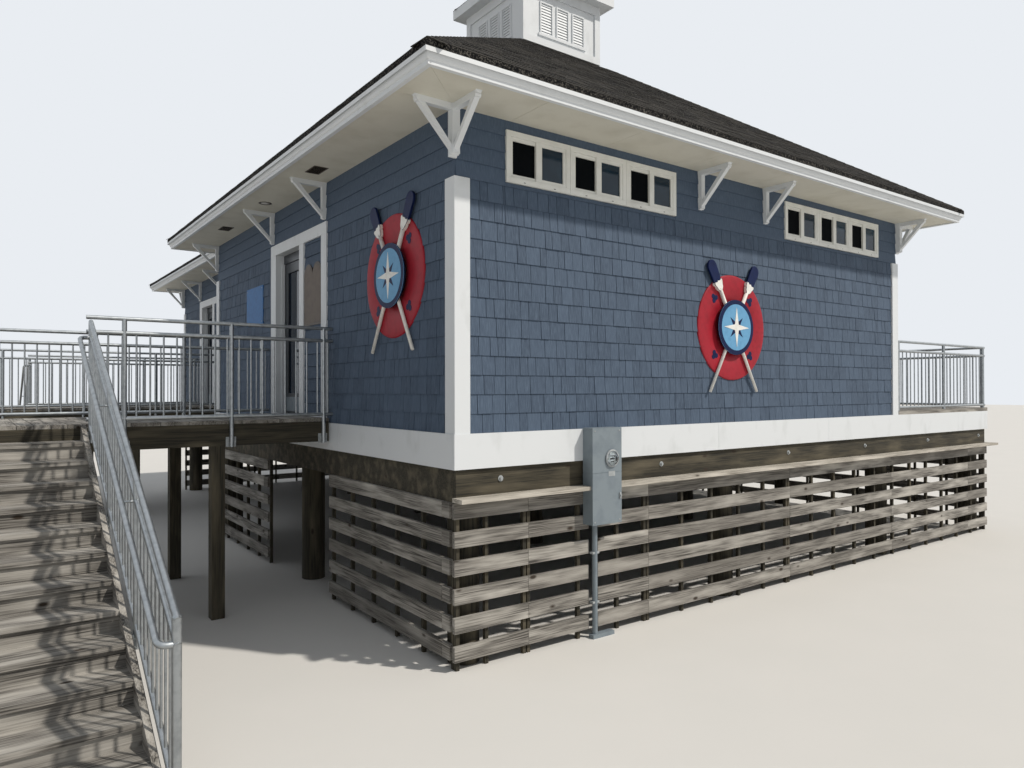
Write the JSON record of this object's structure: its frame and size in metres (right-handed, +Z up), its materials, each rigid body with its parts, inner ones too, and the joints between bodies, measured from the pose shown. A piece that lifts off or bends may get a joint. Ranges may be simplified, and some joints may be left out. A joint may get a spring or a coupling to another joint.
{
  "type": "lifeguard station building",
  "caption": "Raised timber beach station: shingled walls, hip roof with louvred cupola, slatted skirt, decks with guards, stairs, hinged entry door.",
  "frame": {"origin": "on the ground under the middle of the main block, at the foot of its centre pile", "axes": "+Z up; +X along the front (south) wall towards the open deck; +Y back along the door side"},
  "size_m": [15.7567, 17.9365, 9.514],
  "materials": {
    "siding": "slate blue stain, matte",
    "white_trim": "white paint, satin",
    "weathered_timber": "weathered, unpainted",
    "dark_timber": "treated timber, dark and damp",
    "roof_shingles": "mineral granules, matte",
    "guard_pipe": "satin mill finish",
    "glass": "clear",
    "door_paint": "grey paint, satin",
    "ring_red": "gloss paint",
    "oar_paint": "white paint with navy blades",
    "plaque": "gloss paint",
    "grey_metal": "grey enamel",
    "sign_face": "matte paint, bare"
  },
  "bodies": {
    "building": {"corner_boards": "white_trim", "crossed_oars": "oar_paint", "cupola_louvres": "white_trim", "cupola_roof": "roof_shingles", "cupola_walls": "white_trim", "deck_guards": "guard_pipe", "doorway_casings": "white_trim", "east_deck_boards": "weathered_timber", "east_wall": "siding", "eave_brackets": "white_trim", "eave_fascia": "white_trim", "entry_panels": "siding", "floor": "dark_timber", "floor_frame": "dark_timber", "life_rings": "ring_red", "main_roof": "roof_shingles", "medallions": "plaque", "meter_cabinet": "grey_metal", "meter_dome": "glass", "north_return_walls": "siding", "other_doors": "door_paint", "piles": "dark_timber", "rear_east_wall": "siding", "rear_north_wall": "siding", "rear_roof": "roof_shingles", "rear_west_wall": "siding", "rim_beams": "dark_timber", "sign_boards": "sign_face", "skirt_east": "weathered_timber", "skirt_ledge": "weathered_timber", "skirt_north": "weathered_timber", "skirt_south": "weathered_timber", "skirt_west": "weathered_timber", "soffit": "white_trim", "south_wall": "siding", "stair_rails": "guard_pipe", "stair_steps": "weathered_timber", "stair_stringers": "weathered_timber", "walkway_boards": "weathered_timber", "walkway_frames": "dark_timber", "walkway_guards": "guard_pipe", "walkway_posts": "dark_timber", "water_table": "white_trim", "west_wall_head": "siding", "west_wall_north": "siding", "west_wall_south": "siding", "window_frames": "white_trim", "window_glass": "glass"},
    "front_door_leaf": {"front_door": "door_paint", "front_door_glass": "glass"}
  },
  "joints": [
    {"name": "front_door_hinge", "type": "hinge", "parent": "building", "child": "front_door_leaf", "pos_m": [-3.8055, 0.8165, 3.2465], "axis": [0, 0, 1], "range_deg": [0, 95]}
  ]
}
